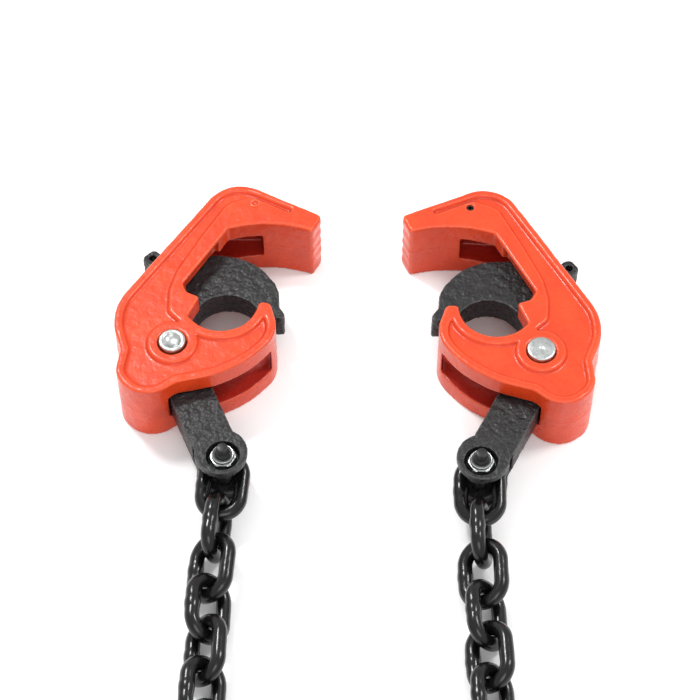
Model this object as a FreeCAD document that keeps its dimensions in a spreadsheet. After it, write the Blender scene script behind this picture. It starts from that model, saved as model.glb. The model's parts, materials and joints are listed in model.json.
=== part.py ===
import FreeCAD, Part
import math
import os
import Sketcher
from FreeCAD import Placement, Rotation, Vector

# Two-leg chain sling with a pair of identical lifting clamps, lying on a flat surface.
# The clamps lie at +Y with their jaws facing each other, the chain legs run towards -Y and
# meet at the master link. +Z is up, the underside of the clamps is at Z = 0, and the origin
# is under the middle of the whole sling. All lengths are millimetres and angles degrees.

os.makedirs("parts", exist_ok=True)
doc = FreeCAD.newDocument("chain_sling")

DIMENSIONS = {
    # clamp casting
    "body_thickness": 42.0,
    "slot_width": 18.0,
    "recess_depth": 1.3,
    "pin_ring_radius": 13.7,
    "scoop_height": 38.0,
    # cam lever
    "lever_thickness": 16.5,
    "boss_thickness": 32.0,
    "fork_gap": 15.0,
    "fork_flare": 23.0,
    "seat_radius": 9.0,
    "seat_depth": 6.5,
    "arm_length": 76.5,
    "arm_angle": 23.0,
    "tail_hole_radius": 2.0,
    # pins, bolt and nut
    "pin_radius": 8.0,
    "pin_proud": 1.8,
    "pin_floor_gap": 0.3,
    "pin_dimple_radius": 4.2,
    "pin_dimple_depth": 2.6,
    "edge_break": 0.7,
    "running_clearance": 0.05,
    "spring_pin_radius": 2.0,
    "spring_pin_sunk": 0.8,
    "bolt_radius": 4.0,
    "bolt_head_radius": 6.5,
    "bolt_head_height": 8.0,
    "socket_flats": 6.0,
    "socket_depth": 4.0,
    "shank_height": 19.0,
    "dog_radius": 3.0,
    "bolt_end_height": 24.0,
    "nut_flats": 13.0,
    "nut_height": 8.0,
    "nut_hex_height": 6.0,
    "nut_collar_radius": 6.1,
    "insert_radius": 5.2,
    "insert_height": 2.3,
    # chain
    "wire": 8.0,
    "link_inner_length": 24.5,
    "link_outer_width": 28.5,
    "link_gap": 0.5,
    "bead_radius": 4.35,
    "bead_length": 3.4,
    # connector
    "connector_pin_radius": 4.0,
    "connector_half_width": 20.5,
    "ear_radius": 7.5,
    "upper_ear_inside": 12.3,
    "lower_ear_inside": 5.3,
    "lower_ear_outside": 12.0,
    "sleeve_radius": 6.0,
    "sleeve_half_width": 5.0,
    "upper_bow_wire": 8.5,
    "upper_bow_radius": 16.6,
    "upper_bow_straight": 12.0,
    "lower_bow_wire": 8.5,
    "lower_bow_radius": 13.0,
    "lower_bow_centre": 20.0,
    "lower_bow_angle": 284.0,
    "lug_thickness": 7.6,
    # master link
    "master_wire": 13.0,
    "master_inner_length": 110.0,
    "master_inner_width": 60.0,
    "master_gap": 2.2,
    # where the two clamps lie
    "left_pin_x": -101.62,
    "left_pin_y": 200.10,
    "right_pin_x": 100.48,
    "right_pin_y": 194.40,
    "right_turn": -4.2,
}

dims = doc.addObject("Spreadsheet::Sheet", "dims")
for row, (name, value) in enumerate(DIMENSIONS.items(), start=1):
    dims.set(f"A{row}", name)
    dims.set(f"B{row}", str(value))
    dims.setAlias(f"B{row}", name)
doc.recompute()


def size(name):
    """A driving dimension, read back from the sheet."""
    return float(getattr(dims, name))


# Corners of the outlines, in plan, from the pivot pin: (x, y, rounding radius).
CLAMP_OUTLINE = [
    (82.0, 88.0, 3.0),      # jaw tip, outside
    (76.0, 77.0, 2.0),      # jaw tip, inside
    (52.0, 86.0, 70.0),     # hollow face of the jaw
    (28.0, 79.0, 1.5),      # root of the jaw
    (4.0, 40.0, 1.0),       # bottom of the throat
    (6.5, 34.3, 1.5),
    (14.0, 31.0, 2.0),      # nib over the pivot
    (7.5, 17.7, 1.5),
    (20.2, 5.0, 20.6),      # round mouth
    (44.2, 12.5, 20.6),
    (46.8, 27.3, 2.2),      # horn tip
    (53.2, 26.8, 3.5),
    (58.5, 7.0, 20.0),      # outside of the horn
    (43.5, -11.5, 58.0),
    (24.0, -22.0, 58.0),
    (3.0, -26.6, 12.0),
    (-6.0, -33.5, 18.0),    # lug
    (-19.0, -33.8, 16.0),
    (-30.8, -22.0, 15.0),
    (-28.0, -4.5, 6.0),     # waist
    (-33.3, 12.0, 34.0),
    (-31.5, 28.0, 34.0),    # back
    (27.5, 116.7, 21.0),    # head
]
RECESS_OUTLINE = [
    (64.5, 93.2, 1.4),
    (63.2, 90.6, 1.4),
    (41.0, 102.2, 4.0),
    (27.0, 97.0, 10.0),
    (12.0, 71.0, 30.0),
    (0.5, 49.0, 20.0),
    (-3.3, 35.0, 20.0),
    (-3.0, 21.0, 5.0),
    (16.0, 0.7, 25.8),      # edge of the raised band round the mouth
    (43.7, 4.9, 24.0),
    (50.0, 18.5, 0.5),
    (53.0, 7.0, 14.0),
    (40.5, -7.5, 53.0),
    (22.5, -17.6, 53.0),
    (1.5, -22.2, 9.0),
    (-7.0, -29.2, 13.0),
    (-17.2, -29.4, 11.0),
    (-26.4, -20.4, 10.0),
    (-23.6, -4.3, 8.0),
    (-28.8, 12.0, 27.0),
    (-27.3, 26.4, 27.0),
    (28.9, 110.8, 16.5),
]
SPRING_PIN_AT = (43.0, 97.0)
TAIL_HOLE_AT = (-15.0, 67.2)
ARM_HALF_WIDTH = 11.9
ARM_STOP_GAP = 0.4
BOSS_BACK = 17.0            # from the bolt towards the pivot
BOSS_NOSE = 11.3            # from the bolt away from the pivot
BOSS_HALF_WIDTH = 14.2
SLIT_DEPTH = 17.0           # from the bolt towards the pivot
LIP_RADIUS = 9.6            # round the bolt; beyond it the slit widens for the second link

# How each chain link lies, from the clamp to the connector: heading towards the middle of the
# sling, climb, and roll about its own length (positive with the -X side up).
LEFT_LINKS = [
    (-6, -10.5, 0), (-6, -2, 74), (-5, -5, -33), (-1, 0, 42), (-1, 0, -44), (-2, 0, 42),
    (4, 0, -42), (9, 0, 42), (14, 0, -42), (18, 3, 42), (21, 6, -42), (23, 8, 36),
]
RIGHT_LINKS = [
    (0, -10.5, 0), (0, -2, 76), (-1, -5, -27), (-2, 0, 46), (-2, 0, -36), (-2, 0, 42),
    (4, 0, -42), (9, 0, 42), (14, 0, -42), (18, 3, 42), (21, 6, -42), (23, 8, 36),
]
CONNECTOR_LIE = (24, 8, -57)


def plan_direction(angle):
    """Unit vector in plan, angle measured from +X."""
    return Vector(math.cos(math.radians(angle)), math.sin(math.radians(angle)), 0)


# ---------------------------------------------------------------- sketch helpers

def new_body(label):
    body = doc.addObject("PartDesign::Body", label)
    body.Label = label
    return body


def origin_feature(body, role):
    return [feature for feature in body.Origin.OriginFeatures if feature.Role == role][0]


def new_sketch(body, name, plane="XY_Plane", lift=None):
    """A sketch on one of the body's own origin planes, lifted along its normal by an expression."""
    sketch = body.newObject("Sketcher::SketchObject", f"{body.Label}_{name}")
    sketch.AttachmentSupport = [(origin_feature(body, plane), "")]
    sketch.MapMode = "FlatFace"
    if lift:
        sketch.setExpression("AttachmentOffset.Base.z", lift)
    return sketch


def add_circle(sketch, centre, radius_expression, name="radius"):
    """A circle at a fixed centre whose radius follows an expression."""
    index = sketch.addGeometry(Part.Circle(Vector(centre[0], centre[1], 0), Vector(0, 0, 1), 1.0))
    sketch.addConstraint(Sketcher.Constraint("DistanceX", index, 3, centre[0]))
    sketch.addConstraint(Sketcher.Constraint("DistanceY", index, 3, centre[1]))
    radius = sketch.addConstraint(Sketcher.Constraint("Radius", index, 1.0))
    sketch.renameConstraint(radius, name)
    sketch.setExpression(f"Constraints.{name}", radius_expression)
    return index


def corner_tangents(before, corner, after, radius):
    """Where the rounding of a corner starts and ends, and the middle of its arc."""
    inward = (before - corner).normalize()
    onward = (after - corner).normalize()
    half_angle = inward.getAngle(onward) / 2
    reach = radius / math.tan(half_angle)
    middle_line = (inward + onward).normalize()
    to_middle = radius / math.sin(half_angle) - radius
    return corner + inward * reach, corner + middle_line * to_middle, corner + onward * reach


def add_outline(sketch, corners):
    """A closed outline of straight sides whose corners are rounded by their radii."""
    points = [Vector(x, y, 0) for x, y, _ in corners]
    arcs = []
    for index, (_, _, radius) in enumerate(corners):
        before = points[index - 1]
        after = points[(index + 1) % len(points)]
        arcs.append(corner_tangents(before, points[index], after, radius))
    geometry = []
    for index, (start, middle, end) in enumerate(arcs):
        following = (index + 1) % len(arcs)
        onward = arcs[following][0] - end
        if onward * (points[following] - points[index]) <= 0:
            raise RuntimeError(f"the roundings of corners {index} and {following} overlap in {sketch.Name}")
        geometry.append(Part.Arc(start, middle, end))
        geometry.append(Part.LineSegment(end, arcs[following][0]))
    sketch.addGeometry(geometry)


def add_polygon(sketch, points):
    """A closed outline with sharp corners."""
    vectors = [Vector(x, y, 0) for x, y in points]
    ends = vectors[1:] + vectors[:1]
    sketch.addGeometry([Part.LineSegment(start, end) for start, end in zip(vectors, ends)])


def pad(body, sketch, length, midplane=True, reverse=False):
    feature = body.newObject("PartDesign::Pad", f"{sketch.Name}_pad")
    feature.Profile = sketch
    feature.Midplane = midplane
    feature.Reversed = reverse
    feature.setExpression("Length", length)
    body.Tip = feature
    return feature


def pocket(body, sketch, length=None, midplane=True, reverse=False):
    feature = body.newObject("PartDesign::Pocket", f"{sketch.Name}_pocket")
    feature.Profile = sketch
    feature.Midplane = midplane
    feature.Reversed = reverse
    if length:
        feature.setExpression("Length", length)
    else:
        feature.Type = "ThroughAll"
    body.Tip = feature
    return feature


def revolve(body, sketch, axis, angle=360.0):
    """Turns a sketch about one of its own axes, half the angle each way."""
    feature = body.newObject("PartDesign::Revolution", f"{sketch.Name}_turn")
    feature.Profile = sketch
    feature.ReferenceAxis = (sketch, [axis])
    feature.Angle = angle
    feature.Midplane = angle < 360.0
    body.Tip = feature
    return feature


def mirror(body, features, plane):
    feature = body.newObject("PartDesign::Mirrored", f"{features[0].Name}_mirror")
    feature.Originals = features
    feature.MirrorPlane = (origin_feature(body, plane), [""])
    body.Tip = feature
    return feature


def add_half_section(sketch, corners):
    """Half section of a turned piece: each corner an expression for its radius and its height."""
    values = [[float(dims.evalExpression(text)) for text in corner] for corner in corners]
    add_polygon(sketch, values)
    for index, corner in enumerate(corners):
        following = (index + 1) % len(corners)
        sketch.addConstraint(Sketcher.Constraint("Coincident", index, 2, following, 1))
        for kind, text, value in zip(("DistanceX", "DistanceY"), corner, values[index]):
            number = sketch.addConstraint(Sketcher.Constraint(kind, -1, 1, index, 1, value))
            sketch.setExpression(f"Constraints[{number}]", text)


def turned_piece(label, corners):
    """A piece turned about its own Z axis."""
    body = new_body(label)
    section = new_sketch(body, "section", "XZ_Plane")
    add_half_section(section, corners)
    revolve(body, section, "V_Axis")
    return body


def add_hexagon(sketch, flats):
    """A regular hexagon about the sketch's centre, given its size across flats."""
    reach = flats / math.sqrt(3)
    add_polygon(sketch, [tuple(plan_direction(60 * side) * reach)[:2] for side in range(6)])


# ---------------------------------------------------------------- the clamp and its lever

def arm_point(along, across):
    """A point in the lever's plan, measured along and across its arm from the pivot."""
    onward = plan_direction(size("arm_angle") - 90)
    point = onward * along + Vector(-onward.y, onward.x, 0) * across
    return point.x, point.y


def slot_outline():
    """The slot that the lever works in, from the jaw's root to the mouth, open at the back."""
    stop = ARM_HALF_WIDTH + ARM_STOP_GAP
    return [
        (47.5, 94.0, 2.5),
        (27.0, 94.0, 2.5),
        (14.0, 84.0, 3.0),
        (-5.0, 97.0, 1.0),
        (-60.0, 62.0, 1.0),
        (-48.0, 30.0, 1.0),
        (-25.0, 30.0, 2.0),             # wall behind the pivot
        (-19.5, 12.0, 6.0),
        (*arm_point(-14.0, -stop - 1.2), 2.0),
        (*arm_point(60.0, -stop), 1.0),  # the lug, where the arm comes to rest
        (53.7, -60.0, 1.0),
        (53.7, 12.3, 1.0),              # web between the two horns
        (90.0, 12.3, 1.0),
        (90.0, 60.0, 1.0),
        (47.5, 60.0, 1.0),
    ]


SCOOP_OUTLINE = [
    (3.6, 44.1, 1.0),
    (20.6, 71.8, 1.0),
    (30.0, 67.0, 1.0),
    (12.0, 38.5, 1.0),
]


def lever_outline():
    """Plan of the lever: hooked cam, tail and arm, starting at the tip of its hook."""
    arm_end = size("arm_length") - 2.0
    return [
        (60.8, 25.0, 1.2),
        (60.9, 28.0, 2.0),
        (57.2, 34.0, 6.0),
        (58.5, 45.0, 21.0),             # cam
        (42.0, 66.7, 32.0),
        (11.5, 70.5, 20.0),
        (-3.5, 62.8, 4.0),
        (-14.7, 74.0, 3.6),             # tail
        (-21.9, 66.6, 3.6),
        (-11.0, 56.3, 4.0),
        (-16.0, 34.0, 20.0),
        (-13.8, 7.0, 10.0),
        (*arm_point(-2.9, -ARM_HALF_WIDTH), 10.0),
        (*arm_point(arm_end, -ARM_HALF_WIDTH), 2.0),
        (*arm_point(arm_end, ARM_HALF_WIDTH), 2.0),
        (*arm_point(7.4, ARM_HALF_WIDTH), 3.0),
        (16.4, 6.2, 1.5),
        (6.7, 20.1, 18.8),              # round hook
        (15.9, 40.0, 18.8),
        (37.8, 41.9, 18.8),
        (46.1, 30.0, 10.5),
        (46.1, 25.0, 1.0),
    ]


def make_clamp_body(label):
    body = new_body(label)
    outline = new_sketch(body, "outline")
    add_outline(outline, CLAMP_OUTLINE)
    pad(body, outline, "dims.body_thickness")
    slot = new_sketch(body, "slot")
    add_outline(slot, slot_outline())
    pocket(body, slot, "dims.slot_width")
    scoop = new_sketch(body, "scoop")
    add_outline(scoop, SCOOP_OUTLINE)
    pocket(body, scoop, "dims.scoop_height")
    recess = new_sketch(body, "recess", lift="dims.body_thickness / 2")
    add_outline(recess, RECESS_OUTLINE)
    recess_cut = pocket(body, recess, "dims.recess_depth", midplane=False)
    ring = new_sketch(body, "ring", lift="dims.body_thickness / 2 - dims.recess_depth")
    add_circle(ring, (0.0, 0.0), "dims.pin_ring_radius")
    ring_pad = pad(body, ring, "dims.recess_depth", midplane=False)
    mirror(body, [recess_cut, ring_pad], "XY_Plane")
    bore = new_sketch(body, "bore")
    add_circle(bore, (0.0, 0.0), "dims.pin_radius + dims.running_clearance")
    pocket(body, bore)
    pin_hole = new_sketch(body, "pin_hole")
    add_circle(pin_hole, SPRING_PIN_AT, "dims.spring_pin_radius + dims.running_clearance")
    pocket(body, pin_hole)
    return body


def make_cam_lever(label):
    body = new_body(label)
    plate = new_sketch(body, "plate")
    add_outline(plate, lever_outline())
    pad(body, plate, "dims.lever_thickness")
    reach = size("arm_length")
    back = reach - BOSS_BACK
    nose = reach + BOSS_NOSE
    back_round = BOSS_HALF_WIDTH - 0.1
    nose_round = BOSS_HALF_WIDTH - 0.2
    boss = new_sketch(body, "boss")
    add_outline(boss, [
        (*arm_point(back, -BOSS_HALF_WIDTH), back_round),
        (*arm_point(nose, -BOSS_HALF_WIDTH), nose_round),
        (*arm_point(nose, BOSS_HALF_WIDTH), nose_round),
        (*arm_point(back, BOSS_HALF_WIDTH), back_round),
    ])
    pad(body, boss, "dims.boss_thickness")
    slit = new_sketch(body, "slit")
    slit_start = reach - SLIT_DEPTH
    slit_end = nose + 1.0
    slit_half = BOSS_HALF_WIDTH + 1.0
    add_polygon(slit, [
        arm_point(slit_start, -slit_half),
        arm_point(slit_end, -slit_half),
        arm_point(slit_end, slit_half),
        arm_point(slit_start, slit_half),
    ])
    pocket(body, slit, "dims.fork_gap")
    flare = new_sketch(body, "flare")
    before, after = arm_point(reach, -LIP_RADIUS), arm_point(reach, LIP_RADIUS)
    corners = [after, arm_point(reach, slit_half), arm_point(slit_end, slit_half),
               arm_point(slit_end, -slit_half), arm_point(reach, -slit_half), before]
    lip_nose = arm_point(reach + LIP_RADIUS, 0.0)
    flare.addGeometry([Part.LineSegment(Vector(*start, 0), Vector(*end, 0))
                       for start, end in zip(corners, corners[1:])])
    flare.addGeometry(Part.Arc(Vector(*before, 0), Vector(*lip_nose, 0), Vector(*after, 0)))
    pocket(body, flare, "dims.fork_flare")
    seat = new_sketch(body, "seat", lift="dims.boss_thickness / 2")
    add_circle(seat, arm_point(reach, 0.0), "dims.seat_radius")
    seat_cut = pocket(body, seat, "dims.seat_depth", midplane=False)
    mirror(body, [seat_cut], "XY_Plane")
    holes = {
        "bolt_hole": (arm_point(reach, 0.0), "dims.bolt_radius + dims.running_clearance"),
        "pivot_hole": ((0.0, 0.0), "dims.pin_radius + dims.running_clearance"),
        "tail_hole": (TAIL_HOLE_AT, "dims.tail_hole_radius"),
    }
    for name, (centre, radius) in holes.items():
        hole = new_sketch(body, name)
        add_circle(hole, centre, radius)
        pocket(body, hole)
    return body


def make_pivot_pin(label, dimpled_top):
    """Riveted pin: its top stands proud of the casting, its foot is clear of the ground."""
    foot = "dims.pin_floor_gap - dims.body_thickness / 2"
    top = "dims.body_thickness / 2 + dims.pin_proud"
    inner = "dims.pin_radius - dims.edge_break"
    corners = [
        ("0", foot),
        (inner, foot),
        ("dims.pin_radius", f"{foot} + dims.edge_break"),
        ("dims.pin_radius", f"{top} - dims.edge_break"),
        (inner, top),
    ]
    if dimpled_top:
        corners.append(("dims.pin_dimple_radius", top))
        corners.append(("0", f"{top} - dims.pin_dimple_depth"))
    else:
        corners.append(("0", top))
    return turned_piece(label, corners)


def make_spring_pin(label):
    """Rolled tube, a little below both faces of the casting."""
    top = "dims.body_thickness / 2 - dims.spring_pin_sunk"
    foot = "dims.spring_pin_sunk - dims.body_thickness / 2"
    return turned_piece(label, [
        ("dims.spring_pin_radius / 2", foot),
        ("dims.spring_pin_radius", foot),
        ("dims.spring_pin_radius", top),
        ("dims.spring_pin_radius / 2", top),
    ])


def make_chain_bolt(label):
    """Socket-head bolt with a dog point, head down, measured from the middle of the fork."""
    seat = "dims.seat_depth - dims.boss_thickness / 2"
    head_foot = f"{seat} - dims.bolt_head_height"
    body = turned_piece(label, [
        ("0", head_foot),
        ("dims.bolt_head_radius", head_foot),
        ("dims.bolt_head_radius", seat),
        ("dims.bolt_radius", seat),
        ("dims.bolt_radius", "dims.shank_height"),
        ("dims.dog_radius", "dims.shank_height + 1"),
        ("dims.dog_radius", "dims.bolt_end_height"),
        ("0", "dims.bolt_end_height"),
    ])
    socket = new_sketch(body, "socket", lift=head_foot)
    add_hexagon(socket, size("socket_flats"))
    pocket(body, socket, "dims.socket_depth", midplane=False, reverse=True)
    return body


def make_lock_nut(label):
    """Hexagon nut with a round collar for its insert."""
    foot = "dims.boss_thickness / 2 - dims.seat_depth"
    collar_foot = f"{foot} + dims.nut_hex_height"
    top = f"{foot} + dims.nut_height"
    body = new_body(label)
    hexagon = new_sketch(body, "hexagon", lift=foot)
    add_hexagon(hexagon, size("nut_flats"))
    pad(body, hexagon, "dims.nut_hex_height", midplane=False)
    collar = new_sketch(body, "collar", lift=collar_foot)
    add_circle(collar, (0.0, 0.0), "dims.nut_collar_radius")
    pad(body, collar, "dims.nut_height - dims.nut_hex_height", midplane=False)
    bore = new_sketch(body, "bore")
    add_circle(bore, (0.0, 0.0), "dims.bolt_radius + dims.running_clearance")
    pocket(body, bore)
    seat = new_sketch(body, "insert_seat", lift=top)
    add_circle(seat, (0.0, 0.0), "dims.insert_radius + dims.running_clearance")
    pocket(body, seat, "dims.insert_height", midplane=False)
    return body


def make_nut_insert(label):
    top = "dims.boss_thickness / 2 - dims.seat_depth + dims.nut_height"
    foot = f"{top} - dims.insert_height"
    inside = "dims.bolt_radius + dims.running_clearance"
    return turned_piece(label, [
        (inside, foot),
        ("dims.insert_radius", foot),
        ("dims.insert_radius", top),
        (inside, top),
    ])


# ---------------------------------------------------------------- chain and fittings

def add_bow(body, name, centre, radius, wire, angle):
    """Part of a ring about an axis along Z, its middle towards +Y or, for a negative radius, -Y."""
    centre_at = float(dims.evalExpression(centre))
    sketch = new_sketch(body, name, "YZ_Plane")
    axis = sketch.addGeometry(Part.LineSegment(Vector(centre_at, 0, 0), Vector(centre_at, 10, 0)), True)
    sketch.addConstraint(Sketcher.Constraint("Vertical", axis))
    at_centre = sketch.addConstraint(Sketcher.Constraint("DistanceX", -1, 1, axis, 1, centre_at))
    sketch.setExpression(f"Constraints[{at_centre}]", centre)
    middle = f"{centre} + {radius}"
    middle_at = float(dims.evalExpression(middle))
    index = sketch.addGeometry(Part.Circle(Vector(middle_at, 0, 0), Vector(0, 0, 1), 1.0))
    at_middle = sketch.addConstraint(Sketcher.Constraint("DistanceX", -1, 1, index, 3, middle_at))
    sketch.setExpression(f"Constraints[{at_middle}]", middle)
    sketch.addConstraint(Sketcher.Constraint("PointOnObject", index, 3, -1))
    across = sketch.addConstraint(Sketcher.Constraint("Radius", index, 1.0))
    sketch.setExpression(f"Constraints[{across}]", f"{wire} / 2")
    return revolve(body, sketch, "Axis0", angle)


def add_legs(body, name, plane, offset, wire, length, midplane, reverse=False):
    """Two straight legs of round wire, one each side of the middle."""
    sketch = new_sketch(body, name, plane)
    for side in (-1, 1):
        at = side * float(dims.evalExpression(offset))
        index = sketch.addGeometry(Part.Circle(Vector(at, 0, 0), Vector(0, 0, 1), 1.0))
        place = sketch.addConstraint(Sketcher.Constraint("DistanceX", -1, 1, index, 3, at))
        sketch.setExpression(f"Constraints[{place}]", f"{side} * ({offset})")
        sketch.addConstraint(Sketcher.Constraint("PointOnObject", index, 3, -1))
        across = sketch.addConstraint(Sketcher.Constraint("Radius", index, 1.0))
        sketch.setExpression(f"Constraints[{across}]", f"{wire} / 2")
    return pad(body, sketch, length, midplane, reverse)


def make_ring(label, wire, inner_length, outer_width):
    """A long link lying in its own XY plane, its length along Y: two straight legs, two half rings."""
    radius = f"({outer_width} - {wire}) / 2"
    straight = f"({inner_length} + {wire}) / 2 - {radius}"
    body = new_body(label)
    add_legs(body, "legs", "XZ_Plane", radius, wire, f"2 * ({straight})", True)
    bow = add_bow(body, "bow", straight, radius, wire, 180.0)
    mirror(body, [bow], "XZ_Plane")
    return body


def make_chain_link(label):
    """A ring with the bead of its weld round the middle of one leg."""
    body = make_ring(label, "dims.wire", "dims.link_inner_length", "dims.link_outer_width")
    leg_at = (size("link_outer_width") - size("wire")) / 2
    half = size("bead_length")
    buried = size("wire") / 2 - 0.05
    bead = new_sketch(body, "bead")
    foot, head = Vector(leg_at, -half, 0), Vector(leg_at, half, 0)
    start, end = foot + Vector(buried, 0, 0), head + Vector(buried, 0, 0)
    top = Vector(leg_at + size("bead_radius"), 0, 0)
    bead.addGeometry([
        Part.LineSegment(head, foot),
        Part.LineSegment(foot, start),
        Part.Arc(start, top, end),
        Part.LineSegment(end, head),
    ])
    bead.addGeometry(Part.LineSegment(foot, head), True)
    revolve(body, bead, "Axis0")
    return body


def add_ears(body, inside, outside):
    """Two round ears about the X axis, one each side of the middle."""
    ear = new_sketch(body, "ear", "YZ_Plane", lift=inside)
    add_circle(ear, (0.0, 0.0), "dims.ear_radius")
    ear_pad = pad(body, ear, f"{outside} - {inside}", midplane=False)
    mirror(body, [ear_pad], "YZ_Plane")


def cut_across(body, name, radius, width=None):
    """Cuts a round hole along the X axis, right through or only over a width at the middle."""
    hole = new_sketch(body, name, "YZ_Plane")
    add_circle(hole, (0.0, 0.0), radius)
    pocket(body, hole, width)


def make_connector_upper(label):
    """Half of the connector that holds the master link, its pin along X and its bow towards +Y."""
    body = new_body(label)
    add_bow(body, "bow", "dims.upper_bow_straight", "dims.upper_bow_radius", "dims.upper_bow_wire", 180.0)
    add_legs(body, "legs", "XZ_Plane", "dims.upper_bow_radius", "dims.upper_bow_wire",
             "dims.upper_bow_straight", False, True)
    add_ears(body, "dims.upper_ear_inside", "dims.connector_half_width")
    cut_across(body, "pin_hole", "dims.connector_pin_radius + dims.running_clearance")
    return body


LUG_OUTLINE = [
    (5.3, 0.0),
    (12.0, 0.0),
    (12.0, -8.2),
    (12.5, -13.5),
    (8.5, -13.0),
    (5.3, -9.5),
]


def make_connector_lower(label):
    """Half of the connector that holds the chain, its bow towards -Y and its ears inside the other's."""
    body = new_body(label)
    add_bow(body, "bow", "-dims.lower_bow_centre", "-dims.lower_bow_radius", "dims.lower_bow_wire",
            size("lower_bow_angle"))
    lug = new_sketch(body, "lug")
    add_polygon(lug, LUG_OUTLINE)
    lug_pad = pad(body, lug, "dims.lug_thickness")
    mirror(body, [lug_pad], "YZ_Plane")
    add_ears(body, "dims.lower_ear_inside", "dims.lower_ear_outside")
    cut_across(body, "pin_hole", "dims.connector_pin_radius + dims.running_clearance")
    return body


def make_cross_piece(label, radius, half_width, bore=None):
    """A round piece along the X axis, with a bore through it or solid."""
    body = new_body(label)
    section = new_sketch(body, "section", "YZ_Plane")
    add_circle(section, (0.0, 0.0), radius)
    pad(body, section, f"2 * {half_width}")
    if bore:
        cut_across(body, "bore", bore)
    return body


# ---------------------------------------------------------------- where everything lies

class Lie:
    """A direction of pull with the two directions across it: through the plane's side and its face."""

    def __init__(self, heading, climb, roll, side):
        level = Vector(side * math.sin(math.radians(heading)), -math.cos(math.radians(heading)), 0)
        rise = math.radians(climb)
        self.pull = level * math.cos(rise) + Vector(0, 0, math.sin(rise))
        flank = Vector(level.y, -level.x, 0)
        turn = math.radians(roll)
        self.across = flank * math.cos(turn) + flank.cross(self.pull) * math.sin(turn)
        self.face = self.across.cross(self.pull)

    def placement(self, centre):
        """Placement of a piece whose own X runs across and whose own Y runs along the pull."""
        return Placement(centre, Rotation(self.across, self.pull, self.face, "XYZ"))


def half_centreline():
    return (size("link_inner_length") + size("wire")) / 2


def contact_normal(held_along, lie):
    """Direction of pull between two round wires that cross: square to both of them."""
    normal = held_along.cross(lie.across).normalize()
    return normal if normal * lie.pull > 0 else -normal


def lay_leg(bolt, lies, side):
    """Lays one leg from its bolt; gives each link's centre, lie and far crown, then the connector's."""
    wire = size("wire")
    gap = size("link_gap")
    crown = Vector(bolt)
    held_along = Vector(0, 0, 1)
    links = []
    for heading, climb, roll in lies:
        lie = Lie(heading, climb, roll, side)
        near = crown - contact_normal(held_along, lie) * (wire + gap)
        centre = near + lie.pull * half_centreline()
        crown = centre + lie.pull * half_centreline()
        held_along = lie.across
        links.append((centre, lie, crown))
    lie = Lie(*CONNECTOR_LIE, side)
    bow_wires = (wire + size("lower_bow_wire")) / 2
    lower_crown = crown - contact_normal(held_along, lie) * (bow_wires + gap)
    pin = lower_crown + lie.pull * (size("lower_bow_centre") + size("lower_bow_radius"))
    upper_reach = size("upper_bow_straight") + size("upper_bow_radius") - size("master_gap")
    held = pin + lie.pull * (upper_reach - (size("upper_bow_wire") + size("master_wire")) / 2)
    return {"links": links, "lie": lie, "lower_crown": lower_crown, "pin": pin, "held": held}


def lay_master(left_held, right_held):
    """The master link hangs on both upper bows and slopes down until its far end lies on the ground."""
    wire = size("master_wire")
    radius = (size("master_inner_width") + wire) / 2
    straight = (size("master_inner_length") + wire) / 2 - radius
    middle = (left_held + right_held) * 0.5
    across = (right_held - left_held).normalize()
    level = Vector(across.y, -across.x, 0).normalize()
    half_gap = (left_held - right_held).Length / 2
    set_back = math.sqrt(radius ** 2 - half_gap ** 2)
    slope = math.asin((middle.z - wire / 2) / (set_back + 2 * straight + radius))
    pull = level * math.cos(slope) - Vector(0, 0, math.sin(slope))
    centre = middle + pull * (set_back + straight)
    return centre, pull, Placement(centre, Rotation(across, pull, across.cross(pull), "XYZ")), slope


middle_height = size("body_thickness") / 2
SIDES = {"left": 1, "right": -1}
clamp_placements = {
    "left": Placement(Vector(size("left_pin_x"), size("left_pin_y"), middle_height), Rotation()),
    "right": Placement(
        Vector(size("right_pin_x"), size("right_pin_y"), middle_height),
        Rotation(Vector(0, 0, 1), size("right_turn")) * Rotation(Vector(0, 1, 0), 180),
    ),
}
link_lies = {"left": LEFT_LINKS, "right": RIGHT_LINKS}
legs = {}
pieces = []

for name, side in SIDES.items():
    at_clamp = clamp_placements[name]
    bolt = at_clamp.multVec(Vector(*arm_point(size("arm_length"), 0.0), 0))
    spring_pin = at_clamp.multVec(Vector(*SPRING_PIN_AT, 0))
    # The two clamps are one design: the right one is turned over, so its pin shows the other end.
    pieces.append((make_clamp_body(f"{name}_clamp_body"), at_clamp))
    pieces.append((make_cam_lever(f"{name}_cam_lever"), at_clamp))
    pieces.append((make_pivot_pin(f"{name}_pivot_pin", name == "left"), Placement(at_clamp.Base, Rotation())))
    pieces.append((make_spring_pin(f"{name}_spring_pin"), Placement(spring_pin, Rotation())))
    at_bolt = Placement(bolt, Rotation())
    pieces.append((make_chain_bolt(f"{name}_chain_bolt"), at_bolt))
    pieces.append((make_lock_nut(f"{name}_lock_nut"), at_bolt))
    pieces.append((make_nut_insert(f"{name}_nut_insert"), at_bolt))
    leg = lay_leg(bolt, link_lies[name], side)
    legs[name] = leg
    for number, (centre, lie, _) in enumerate(leg["links"], start=1):
        pieces.append((make_chain_link(f"{name}_link_{number:02d}"), lie.placement(centre)))
    at_connector = leg["lie"].placement(leg["pin"])
    pin_radius = "dims.connector_pin_radius"
    pieces.append((make_connector_lower(f"{name}_connector_lower"), at_connector))
    pieces.append((make_connector_upper(f"{name}_connector_upper"), at_connector))
    connector_pin = make_cross_piece(f"{name}_connector_pin", pin_radius, "dims.connector_half_width")
    pieces.append((connector_pin, at_connector))
    sleeve_bore = f"{pin_radius} + dims.running_clearance"
    sleeve = make_cross_piece(f"{name}_connector_sleeve", "dims.sleeve_radius",
                              "dims.sleeve_half_width", sleeve_bore)
    pieces.append((sleeve, at_connector))

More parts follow.
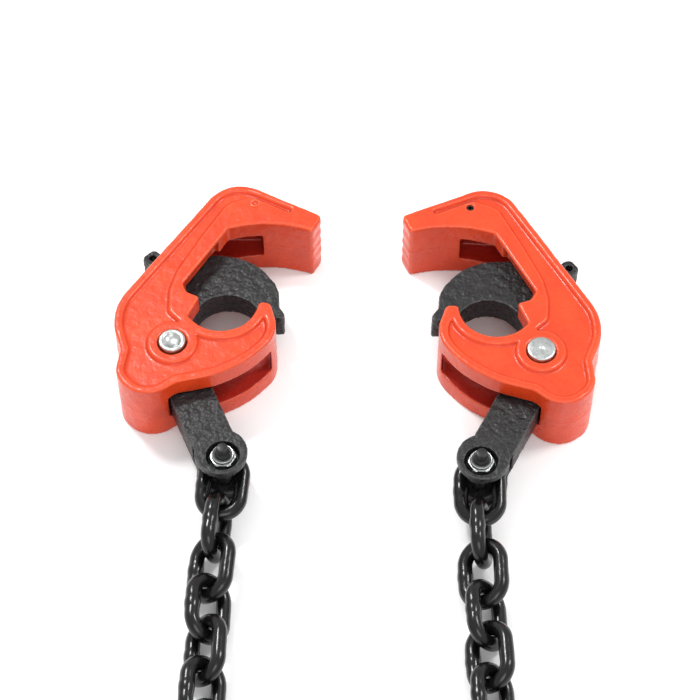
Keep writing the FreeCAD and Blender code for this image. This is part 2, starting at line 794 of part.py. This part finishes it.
master_centre, master_pull, master_placement, master_slope = lay_master(
    legs["left"]["held"], legs["right"]["held"])
master = make_ring("master_link", "dims.master_wire", "dims.master_inner_length",
                   "(dims.master_inner_width + 2 * dims.master_wire)")
pieces.append((master, master_placement))

for body, placement in pieces:
    body.Placement = placement
doc.recompute()

failed = [item.Name for item in doc.Objects if {"Invalid", "Error"} & set(item.State)]
if failed:
    raise RuntimeError(f"failed features: {failed}")
for body, _ in pieces:
    shape = body.Shape
    if shape.isNull() or not shape.isValid() or len(shape.Solids) != 1:
        raise RuntimeError(f"{body.Label} is not one valid solid")
    shape.exportStep(f"parts/{body.Label}.step")
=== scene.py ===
import json
import math
import bmesh
import bpy
import numpy as np
from mathutils import Matrix, Vector
from mathutils.bvhtree import BVHTree

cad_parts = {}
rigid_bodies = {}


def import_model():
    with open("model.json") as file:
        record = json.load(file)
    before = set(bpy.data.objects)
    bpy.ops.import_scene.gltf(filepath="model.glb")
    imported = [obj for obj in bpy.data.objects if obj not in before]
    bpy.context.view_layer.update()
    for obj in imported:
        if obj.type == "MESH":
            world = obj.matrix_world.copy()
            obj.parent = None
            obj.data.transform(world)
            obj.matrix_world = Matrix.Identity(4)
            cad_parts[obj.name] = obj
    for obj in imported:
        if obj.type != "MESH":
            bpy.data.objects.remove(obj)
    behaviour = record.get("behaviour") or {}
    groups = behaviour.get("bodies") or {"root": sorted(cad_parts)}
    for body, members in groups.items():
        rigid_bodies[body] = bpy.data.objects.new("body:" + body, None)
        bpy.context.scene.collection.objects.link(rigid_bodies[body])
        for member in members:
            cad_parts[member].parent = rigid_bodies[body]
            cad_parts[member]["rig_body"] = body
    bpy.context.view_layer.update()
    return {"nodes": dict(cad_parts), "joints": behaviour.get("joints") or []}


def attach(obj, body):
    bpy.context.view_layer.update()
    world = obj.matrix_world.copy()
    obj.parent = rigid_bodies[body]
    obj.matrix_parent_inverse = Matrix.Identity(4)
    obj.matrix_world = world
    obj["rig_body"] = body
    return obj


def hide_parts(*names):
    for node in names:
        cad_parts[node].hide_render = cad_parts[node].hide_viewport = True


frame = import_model()
NODES = frame["nodes"]
JOINTS = {joint["name"]: joint for joint in frame["joints"]}
MM = 0.001
SIDES = ("left", "right")

# ---------------------------------------------------------------- camera, lights and floor

CAMERA_PITCH = math.radians(55.0)
camera_data = bpy.data.cameras.new("camera")
camera_data.lens = 113.14
camera_data.sensor_width = 36.0
camera = bpy.data.objects.new("camera", camera_data)
camera.location = (-4.12 * MM, -495.14 * MM, 1026.8 * MM)
camera.rotation_euler = (math.pi / 2 - CAMERA_PITCH, 0.0, 0.0)
bpy.context.scene.collection.objects.link(camera)
bpy.context.scene.camera = camera
bpy.context.scene.view_settings.view_transform = "Standard"

world = bpy.data.worlds.new("studio")
world.use_nodes = True
world.node_tree.nodes["Background"].inputs["Color"].default_value = (1.0, 1.0, 1.0, 1.0)
world.node_tree.nodes["Background"].inputs["Strength"].default_value = 0.92
bpy.context.scene.world = world


def add_light(name, at, aim, width, power):
    data = bpy.data.lights.new(name, "AREA")
    data.shape = "DISK"
    data.size = width
    data.energy = power
    light = bpy.data.objects.new(name, data)
    light.location = at
    light.rotation_euler = (Vector(aim) - Vector(at)).to_track_quat("-Z", "Y").to_euler()
    bpy.context.scene.collection.objects.link(light)


add_light("key", (-0.55, 0.75, 1.25), (0.0, 0.15, 0.0), 0.26, 13.0)
add_light("side", (0.75, 0.35, 1.15), (0.0, 0.1, 0.0), 0.30, 7.0)
add_light("front", (0.1, -0.9, 1.2), (0.0, 0.0, 0.0), 0.8, 6.0)

floor_mesh = bpy.data.meshes.new("floor")
floor_mesh.from_pydata(
    [(-6, -6, -0.0001), (6, -6, -0.0001), (6, 6, -0.0001), (-6, 6, -0.0001)], [], [(0, 1, 2, 3)])
floor = bpy.data.objects.new("floor", floor_mesh)
bpy.context.scene.collection.objects.link(floor)

# ---------------------------------------------------------------- materials


class Finish:
    """A node material in the making: every texture is in the piece's own metres."""

    def __init__(self, name):
        self.material = bpy.data.materials.new(name)
        self.material.use_nodes = True
        self.tree = self.material.node_tree
        self.shader = self.tree.nodes["Principled BSDF"]
        self.place = self.tree.nodes.new("ShaderNodeTexCoord").outputs["Object"]

    def link(self, source, target):
        self.tree.links.new(source, target)

    def set(self, **values):
        for name, value in values.items():
            self.shader.inputs[name.replace("_", " ")].default_value = value

    def noise(self, scale, detail=4.0, roughness=0.55, stretch=None):
        node = self.tree.nodes.new("ShaderNodeTexNoise")
        node.inputs["Scale"].default_value = scale
        node.inputs["Detail"].default_value = detail
        node.inputs["Roughness"].default_value = roughness
        place = self.place
        if stretch:
            mapping = self.tree.nodes.new("ShaderNodeMapping")
            mapping.inputs["Scale"].default_value = stretch
            self.link(place, mapping.inputs["Vector"])
            place = mapping.outputs["Vector"]
        self.link(place, node.inputs["Vector"])
        return node.outputs["Fac"]

    def painted(self, name):
        node = self.tree.nodes.new("ShaderNodeAttribute")
        node.attribute_name = name
        return node.outputs["Fac"]

    def edges(self):
        return self.tree.nodes.new("ShaderNodeNewGeometry").outputs["Pointiness"]

    def spread(self, value, low, high, to_low=0.0, to_high=1.0):
        node = self.tree.nodes.new("ShaderNodeMapRange")
        for name, number in (("From Min", low), ("From Max", high), ("To Min", to_low), ("To Max", to_high)):
            node.inputs[name].default_value = number
        self.link(value, node.inputs["Value"])
        return node.outputs["Result"]

    def blend(self, factor, first, second):
        node = self.tree.nodes.new("ShaderNodeMix")
        node.data_type = "RGBA"
        self.link(factor, node.inputs[0])
        for socket, colour in ((node.inputs[6], first), (node.inputs[7], second)):
            if isinstance(colour, tuple):
                socket.default_value = (*colour, 1.0)
            else:
                self.link(colour, socket)
        return node.outputs[2]

    def colour(self, source):
        self.link(source, self.shader.inputs["Base Color"])

    def roughness(self, source):
        self.link(source, self.shader.inputs["Roughness"])

    def bump(self, *layers):
        """Layers of (height, depth in mm), coarse first."""
        normal = None
        for height, depth in layers:
            node = self.tree.nodes.new("ShaderNodeBump")
            node.inputs["Distance"].default_value = depth * MM
            self.link(height, node.inputs["Height"])
            if normal:
                self.link(normal, node.inputs["Normal"])
            normal = node.outputs["Normal"]
        self.link(normal, self.shader.inputs["Normal"])


def make_paint():
    finish = Finish("orange_enamel")
    tone = finish.spread(finish.noise(55, 3), 0.35, 0.68)
    base = finish.blend(tone, (0.55, 0.036, 0.005), (0.65, 0.050, 0.008))
    # Painted shade: low pointiness darkens hollows and creases towards a deep red.
    painted_hollow_shade = finish.spread(finish.edges(), 0.44, 0.494, 0.9, 0.0)
    shaded = finish.blend(painted_hollow_shade, base, (0.30, 0.012, 0.003))
    # Painted highlight: high pointiness lightens the rounded edges.
    painted_highlight = finish.spread(finish.edges(), 0.508, 0.57, 0.0, 0.5)
    lit = finish.blend(painted_highlight, shaded, (0.72, 0.17, 0.07))
    # Painted shade: points between the cheeks turn deep red, as if the slot lay in shade.
    finish.colour(finish.blend(finish.painted("painted_shade_between_cheeks"), lit, (0.33, 0.013, 0.006)))
    finish.roughness(finish.spread(finish.noise(380, 5), 0.3, 0.7, 0.24, 0.42))
    finish.set(Coat_Weight=0.2, Coat_Roughness=0.16, Specular_IOR_Level=0.3)
    finish.bump((finish.noise(240, 4), 0.35), (finish.noise(1500, 2), 0.07))
    return finish.material


def make_casting():
    finish = Finish("dark_casting")
    grain = finish.noise(480, 4, 0.6)
    tone = finish.blend(finish.spread(grain, 0.38, 0.62), (0.005, 0.005, 0.006), (0.014, 0.014, 0.015))
    glint = finish.spread(finish.noise(620, 3, 0.6), 0.62, 0.70, 0.0, 0.30)
    tone = finish.blend(glint, tone, (0.10, 0.10, 0.10))
    # Painted highlight: high pointiness lightens the rounded edges to grey.
    painted_highlight = finish.spread(finish.edges(), 0.52, 0.58, 0.0, 0.6)
    finish.colour(finish.blend(painted_highlight, tone, (0.17, 0.17, 0.17)))
    finish.roughness(finish.spread(grain, 0.3, 0.7, 0.50, 0.32))
    finish.set(Specular_IOR_Level=0.34)
    finish.bump((finish.noise(260, 3, 0.55), 1.1), (grain, 0.18))
    return finish.material


def make_black(name, dark, light, rough_low, rough_high, depth, specular):
    finish = Finish(name)
    tone = finish.spread(finish.noise(170, 4), 0.35, 0.68)
    finish.colour(finish.blend(tone, (dark,) * 3, (light, light, light * 1.05)))
    finish.roughness(finish.spread(finish.noise(420, 5), 0.32, 0.68, rough_low, rough_high))
    finish.set(Specular_IOR_Level=specular)
    finish.bump((finish.noise(330, 4), depth), (finish.noise(2400, 3), depth * 0.15))
    return finish.material


def make_zinc():
    finish = Finish("bright_zinc")
    patch = finish.spread(finish.noise(260, 5), 0.34, 0.68)
    finish.colour(finish.blend(patch, (0.40, 0.42, 0.41), (0.56, 0.58, 0.57)))
    finish.roughness(finish.spread(finish.noise(900, 4), 0.3, 0.7, 0.24, 0.42))
    finish.set(Metallic=1.0)
    finish.bump((finish.noise(700, 4), 0.08), (finish.noise(500, 3, 0.6, (1.0, 14.0, 1.0)), 0.03))
    return finish.material


def make_nylon():
    finish = Finish("nylon_insert")
    tone = finish.spread(finish.noise(1500, 3), 0.35, 0.65)
    finish.colour(finish.blend(tone, (0.035, 0.036, 0.040), (0.060, 0.061, 0.066)))
    finish.roughness(finish.spread(finish.noise(900, 2), 0.3, 0.7, 0.5, 0.65))
    finish.bump((finish.noise(2200, 2), 0.04))
    return finish.material


def make_floor():
    finish = Finish("pale_floor")
    tone = finish.spread(finish.noise(6, 3), 0.3, 0.7)
    finish.colour(finish.blend(tone, (0.90, 0.90, 0.90), (0.93, 0.93, 0.93)))
    finish.set(Roughness=0.85, Specular_IOR_Level=0.15)
    return finish.material


PAINT = make_paint()
CASTING = make_casting()
CHAIN = make_black("chain_lacquer", 0.002, 0.005, 0.17, 0.26, 0.04, 0.36)
FORGED = make_black("forged_lacquer", 0.003, 0.008, 0.24, 0.40, 0.14, 0.32)
OXIDE = make_black("black_oxide", 0.006, 0.012, 0.30, 0.48, 0.06, 0.35)
ZINC = make_zinc()
NYLON = make_nylon()
floor_mesh.materials.append(make_floor())

# ---------------------------------------------------------------- mesh helpers


def smooth_object(name, mesh, material, body, replaced=()):
    """A new shown piece, smooth shaded, that rides on a body and stands for CAD nodes."""
    mesh.materials.clear()
    mesh.materials.append(material)
    mesh.polygons.foreach_set("use_smooth", [True] * len(mesh.polygons))
    piece = bpy.data.objects.new(name, mesh)
    bpy.context.scene.collection.objects.link(piece)
    if replaced:
        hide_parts(*replaced)
    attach(piece, body)
    return piece


def lumps(points, cell, seed):
    """Smooth random heights from -1 to 1 at points, with bumps about one cell across."""
    scaled = points / cell
    corner = np.floor(scaled).astype(np.int64)
    part = scaled - corner
    part = part * part * (3 - 2 * part)
    total = np.zeros(len(points))
    for dx in (0, 1):
        for dy in (0, 1):
            for dz in (0, 1):
                at = corner + (dx, dy, dz)
                mixed = at[:, 0] * 374761393 + at[:, 1] * 668265263 + at[:, 2] * 1442695041 + seed * 97
                mixed = (mixed ^ (mixed >> 13)) * 1274126177
                height = ((mixed ^ (mixed >> 16)) & 0xFFFF) / 32767.5 - 1
                weight = np.ones(len(points))
                for axis, step in enumerate((dx, dy, dz)):
                    weight *= part[:, axis] if step else 1 - part[:, axis]
                total += weight * height
    return total


def read_points(mesh):
    points = np.empty(len(mesh.vertices) * 3)
    mesh.vertices.foreach_get("co", points)
    return points.reshape(-1, 3) / MM


def read_normals(mesh):
    normals = np.empty(len(mesh.vertices) * 3)
    mesh.vertex_normals.foreach_get("vector", normals)
    return normals.reshape(-1, 3)


def keep_clear(points, centre, along, radius, reach):
    """Moves points within reach of an axis out to the radius, so that a hole stays round and open."""
    along = np.array(along) / np.linalg.norm(along)
    offset = points - np.array(centre)
    offset -= np.outer(offset @ along, along)
    distance = np.linalg.norm(offset, axis=1)
    inside = (distance < radius) & (distance > radius - reach)
    push = np.where(inside, (radius - distance) / np.maximum(distance, 0.01), 0.0)
    return points + offset * push[:, None]


def recast(node, voxel, rounds, material, shape):
    """The CAD node's own form with the soft edges and uneven skin of a casting or forging."""
    source = NODES[node].data.copy()
    welded = bmesh.new()
    welded.from_mesh(source)
    bmesh.ops.remove_doubles(welded, verts=welded.verts, dist=1e-6)
    welded.to_mesh(source)
    welded.free()
    scratch = bpy.data.objects.new("scratch", source)
    bpy.context.scene.collection.objects.link(scratch)
    remesh = scratch.modifiers.new("remesh", "REMESH")
    remesh.mode = "VOXEL"
    remesh.voxel_size = voxel * MM
    ease = scratch.modifiers.new("ease", "SMOOTH")
    ease.factor = 0.5
    ease.iterations = rounds
    evaluated = scratch.evaluated_get(bpy.context.evaluated_depsgraph_get())
    mesh = bpy.data.meshes.new_from_object(evaluated)
    bpy.data.objects.remove(scratch)
    points = shape(read_points(mesh), read_normals(mesh))
    mesh.vertices.foreach_set("co", (points * MM).ravel())
    mesh.update()
    return smooth_object(node + "_skin", mesh, material, NODES[node]["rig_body"], (node,))


def turned(name, rows, centre, material, body, replaced=(), count=96, bored=False):
    """A turned piece from rows of (radius, height) in mm; a radius may be a function of the angle."""
    vertices = []
    faces = []
    for radius, height in rows:
        for step in range(count):
            angle = 2 * math.pi * step / count
            r = radius(angle) if callable(radius) else radius
            vertices.append(((centre[0] + r * math.cos(angle)) * MM,
                             (centre[1] + r * math.sin(angle)) * MM, (centre[2] + height) * MM))
    for row in range(len(rows) if bored else len(rows) - 1):
        following = (row + 1) % len(rows)
        for step in range(count):
            after = (step + 1) % count
            faces.append((row * count + step, row * count + after,
                          following * count + after, following * count + step))
    if not bored:
        faces.append(tuple(reversed(range(count))))
        faces.append(tuple(range((len(rows) - 1) * count, len(rows) * count)))
    mesh = bpy.data.meshes.new(name)
    mesh.from_pydata(vertices, [], faces)
    piece = smooth_object(name, mesh, material, body, replaced)
    mesh.set_sharp_from_angle(angle=math.radians(38))
    return piece


def point_mm(joint):
    return np.array(JOINTS[joint]["pos_m"]) / MM


# ---------------------------------------------------------------- the clamps

MID_HEIGHT = 21.0               # the middle plane of each clamp above the surface, in mm
PIN_HOLE = 8.12                 # radius kept open round the pivot pin
BOLT_HOLE = 4.12                # radius kept open round the chain bolt
SPRING_HOLE = 2.1               # radius kept open round the spring pin
SPRING_PLACE = (43.0, 97.0, 0.0)  # the spring pin from the pivot, in the clamp's own frame
BETWEEN_HEIGHT = 12.0           # the slot lies within this distance of the middle plane
CHEEK_REACH = 26                # how far up or down the other cheek is looked for, in mm
RIGHT_TURN = math.radians(-4.2)
TURNED_OVER = np.array(Matrix.Rotation(RIGHT_TURN, 3, "Z") @ Matrix.Rotation(math.pi, 3, "Y"))
FRAMES = {"left": np.eye(3), "right": TURNED_OVER}
PIVOTS = {side: point_mm(f"{side}_cam_pivot") for side in SIDES}
for side in SIDES:
    PIVOTS[side][2] = MID_HEIGHT


def to_local(points, side):
    return (points - PIVOTS[side]) @ FRAMES[side]


def to_row(points, side):
    return points @ FRAMES[side].T + PIVOTS[side]


def ease_in(value, low, high):
    step = np.clip((value - low) / (high - low), 0, 1)
    return step * step * (3 - 2 * step)


def shape_clamp(side):
    def shape(points, normals):
        local = to_local(points, side)
        facing = normals @ FRAMES[side]
        facing_up = ease_in(np.abs(facing[:, 2]), 0.15, 0.5)
        depth = np.clip(MID_HEIGHT - np.abs(local[:, 2]), 0.0, 1.8)
        sunk = 0.65 * depth * facing_up * (depth < 1.75)
        local[:, 2] -= np.sign(local[:, 2]) * sunk
        points = to_row(local, side)
        skin = 0.14 * lumps(points, 7.0, 3) + 0.06 * lumps(points, 2.6, 5)
        on_wall = 1 - ease_in(np.abs(facing[:, 2]), 0.3, 0.7)
        parting = np.exp(-((local[:, 2]) / 0.9) ** 2) * on_wall
        skin += 0.22 * parting * (0.7 + 0.3 * lumps(points, 5.0, 11))
        at_tip = ease_in(local[:, 0], 70, 74) * ease_in(local[:, 1], 72, 76)
        at_tip *= ease_in(facing[:, 0], 0.35, 0.7)
        skin += 0.16 * at_tip * np.cos(2 * math.pi * local[:, 2] / 8.5)
        moved = points + normals * skin[:, None]
        clear = keep_clear(moved, PIVOTS[side], (0, 0, 1), PIN_HOLE, 3.0)
        spring = to_row(np.array([SPRING_PLACE]), side)[0]
        return keep_clear(clear, spring, (0, 0, 1), SPRING_HOLE, 1.5)
    return shape


def shape_lever(side):
    bolt = point_mm(f"{side}_bolt_swivel")

    def shape(points, normals):
        skin = 0.17 * lumps(points, 3.2, 21) + 0.12 * lumps(points, 1.6, 22)
        moved = points + normals * skin[:, None]
        moved = keep_clear(moved, PIVOTS[side], (0, 0, 1), PIN_HOLE, 3.0)
        return keep_clear(moved, bolt, (0, 0, 1), BOLT_HOLE, 2.0)
    return shape


def shape_forging(points, normals):
    skin = 0.09 * lumps(points, 6.0, 31) + 0.03 * lumps(points, 2.2, 32)
    return points + normals * skin[:, None]


def mark_painted_cheek_shade(piece, side):
    """Marks the points that have the casting both above and below them, where shade is painted in deep red.
    """
    mesh = piece.data
    points = read_points(mesh)
    starts = (points + 0.8 * read_normals(mesh)) * MM
    corners = [tuple(vertex.co) for vertex in mesh.vertices]
    tree = BVHTree.FromPolygons(corners, [tuple(polygon.vertices) for polygon in mesh.polygons])
    marks = np.zeros(len(points))
    for number in np.nonzero(np.abs(to_local(points, side)[:, 2]) < BETWEEN_HEIGHT)[0]:
        start = Vector(starts[number])
        up = tree.ray_cast(start, Vector((0, 0, 1)), CHEEK_REACH * MM)[0]
        if up and tree.ray_cast(start, Vector((0, 0, -1)), CHEEK_REACH * MM)[0]:
            marks[number] = 1.0
    mesh.attributes.new("painted_shade_between_cheeks", "FLOAT", "POINT").data.foreach_set("value", marks)


for side in SIDES:
    skin = recast(f"{side}_clamp_body", 0.62, 7, PAINT, shape_clamp(side))
    mark_painted_cheek_shade(skin, side)
    recast(f"{side}_cam_lever", 0.55, 5, CASTING, shape_lever(side))
    for number in range(1, 13):
        recast(f"{side}_link_{number:02d}", 0.6, 6, CHAIN, shape_forging)

# ---------------------------------------------------------------- pins, bolts and nuts


def hexagon(flats):
    return lambda angle: flats / 2 / math.cos((angle % (math.pi / 3)) - math.pi / 6)


def trimmed(flats, limit):
    outline = hexagon(flats)
    return lambda angle: min(outline(angle), limit)


def thread(radius, depth, pitch, height):
    """A radius that rises and falls with a helical thread."""
    def at(angle):
        phase = (height / pitch - angle / (2 * math.pi)) % 1.0
        return radius - depth * abs(2 * phase - 1)
    return at


NUT_SEAT = 9.5                  # the seats of nut and bolt head from the middle plane
BOLT_END = 24.0
THREAD_FOOT = 12.0
THREAD_END = 18.6
THREAD_STEP = 0.16
THREAD_PITCH = 1.25


def pivot_pin(side):
    """The riveted pin: hollowed on the left clamp, flat on the right one, flush underneath."""
    foot = 0.3 - MID_HEIGHT
    top = MID_HEIGHT + 1.8
    rows = [(0.4, foot), (6.8, foot), (7.5, foot + 0.25), (7.9, foot + 0.7), (8.0, foot + 1.3), (8.0, 17.5)]
    if side == "left":
        rows += [(7.4, 18.2), (7.4, top - 1.1), (7.3, top - 0.6), (7.0, top - 0.2), (6.5, top - 0.02),
                 (5.9, top), (5.2, top - 0.1), (4.7, top - 0.4), (4.3, top - 1.0), (3.6, top - 1.6),
                 (2.4, top - 2.1), (1.1, top - 2.4), (0.3, top - 2.45)]
    else:
        rows += [(7.75, 18.2), (7.75, top - 0.9), (7.65, top - 0.4), (7.3, top - 0.12),
                 (6.6, top - 0.03), (4.0, top), (1.3, top), (0.9, top - 0.12), (0.3, top - 0.25)]
    turned(f"{side}_pivot_pin_turned", rows, PIVOTS[side], ZINC, f"{side}_clamp",
           (f"{side}_pivot_pin",))


def chain_bolt(side, bolt):
    """Socket head, plain shank, thread and dog point."""
    seat = -NUT_SEAT
    rows = [(0.4, seat - 4.0), (hexagon(5.8), seat - 4.0), (hexagon(6.0), seat - 7.9),
            (hexagon(6.6), seat - 8.0), (5.9, seat - 8.0), (6.35, seat - 7.75), (6.5, seat - 7.2),
            (6.5, seat - 0.6), (6.2, seat - 0.05), (4.0, seat), (4.0, 11.6)]
    height = THREAD_FOOT
    while height < THREAD_END:
        rows.append((thread(3.98, 0.5, THREAD_PITCH, height), height))
        height += THREAD_STEP
    rows += [(3.1, 19.0), (3.0, 19.3), (3.0, 23.4), (2.8, 23.85), (2.4, BOLT_END), (0.4, BOLT_END)]
    turned(f"{side}_chain_bolt_turned", rows, bolt, OXIDE, f"{side}_lever",
           (f"{side}_chain_bolt",), 72)


def lock_nut(side, bolt):
    """Hexagon with turned corners and a collar that holds the nylon ring."""
    foot = NUT_SEAT
    rows = [(4.05, foot), (6.1, foot), (trimmed(13.0, 6.7), foot + 0.02), (trimmed(13.0, 7.5), foot + 0.5),
            (trimmed(13.0, 7.5), foot + 5.1), (trimmed(13.0, 7.1), foot + 5.6),
            (trimmed(13.0, 6.6), foot + 5.95), (6.1, foot + 6.0), (6.05, foot + 7.2),
            (5.9, foot + 7.75), (5.6, foot + 8.0), (5.35, foot + 7.95), (5.25, foot + 7.8),
            (5.25, foot + 5.7), (4.05, foot + 5.7)]
    turned(f"{side}_lock_nut_turned", rows, bolt, ZINC, f"{side}_lever",
           (f"{side}_lock_nut",), 120, True)


def nut_insert(side, bolt):
    foot = NUT_SEAT
    rows = [(4.1, foot + 5.75), (5.2, foot + 5.75), (5.2, foot + 7.5), (5.0, foot + 7.7),
            (4.5, foot + 7.75), (4.1, foot + 7.5)]
    turned(f"{side}_nut_insert_turned", rows, bolt, NYLON, f"{side}_lever",
           (f"{side}_nut_insert",), 96, True)


for side in SIDES:
    pivot_pin(side)
    bolt_at = point_mm(f"{side}_bolt_swivel")
    bolt_at[2] = MID_HEIGHT
    chain_bolt(side, bolt_at)
    lock_nut(side, bolt_at)
    nut_insert(side, bolt_at)


def roll_pin(side):
    """A spring pin rolled from strip, with its slit, in the head of the casting."""
    place = to_row(np.array([SPRING_PLACE]), side)[0]
    slit = math.radians(14)
    steps = [slit + (2 * math.pi - 2 * slit) * step / 40 for step in range(41)]
    vertices = []
    faces = []
    ends = [(-20.2, 1.72), (-19.6, 1.98), (19.6, 1.98), (20.2, 1.72)]
    ring = 2 * len(steps)
    for height, outside in ends:
        for radius, angles in ((outside, steps), (1.1, steps[::-1])):
            for angle in angles:
                vertices.append(((place[0] + radius * math.cos(angle)) * MM,
                                 (place[1] + radius * math.sin(angle)) * MM,
                                 (MID_HEIGHT + height) * MM))
    for row in range(len(ends) - 1):
        for step in range(ring):
            after = (step + 1) % ring
            faces.append((row * ring + step, row * ring + after,
                          (row + 1) * ring + after, (row + 1) * ring + step))
    for step in range(len(steps) - 1):
        foot = (step, step + 1, ring - 2 - step, ring - 1 - step)
        faces.append(foot[::-1])
        faces.append(tuple(3 * ring + number for number in foot))
    mesh = bpy.data.meshes.new("roll_pin")
    mesh.from_pydata(vertices, [], faces)
    smooth_object(f"{side}_roll_pin", mesh, OXIDE, f"{side}_clamp",
                  (f"{side}_spring_pin",))
    mesh.set_sharp_from_angle(angle=math.radians(38))
    return place


for side in SIDES:
    spring_at = roll_pin(side)
    if side == "left":
        cap = [(0.2, 41.25), (2.0, 41.25), (2.6, 41.8), (2.75, 42.0), (2.6, 42.3), (2.2, 42.42),
               (1.8, 42.25), (1.4, 41.8), (1.0, 41.75), (0.6, 42.0), (0.2, 42.1)]
        turned("left_paint_over_pin", cap, (spring_at[0], spring_at[1], 0.0), PAINT, "left_clamp",
               (), 48)

# ---------------------------------------------------------------- connectors and master link


def keep_node(node, material, bevel):
    """Keeps the CAD shape, with its sharp edges broken."""
    piece = NODES[node]
    piece.data.materials.clear()
    piece.data.materials.append(material)
    edge = piece.modifiers.new("edge", "BEVEL")
    edge.width = bevel * MM
    edge.segments = 3
    edge.limit_method = "ANGLE"
    edge.angle_limit = math.radians(40)


for side in SIDES:
    for half in ("upper", "lower"):
        recast(f"{side}_connector_{half}", 0.6, 6, FORGED, shape_forging)
    keep_node(f"{side}_connector_pin", ZINC, 0.4)
    keep_node(f"{side}_connector_sleeve", OXIDE, 0.4)
recast("master_link", 0.9, 5, FORGED, shape_forging)
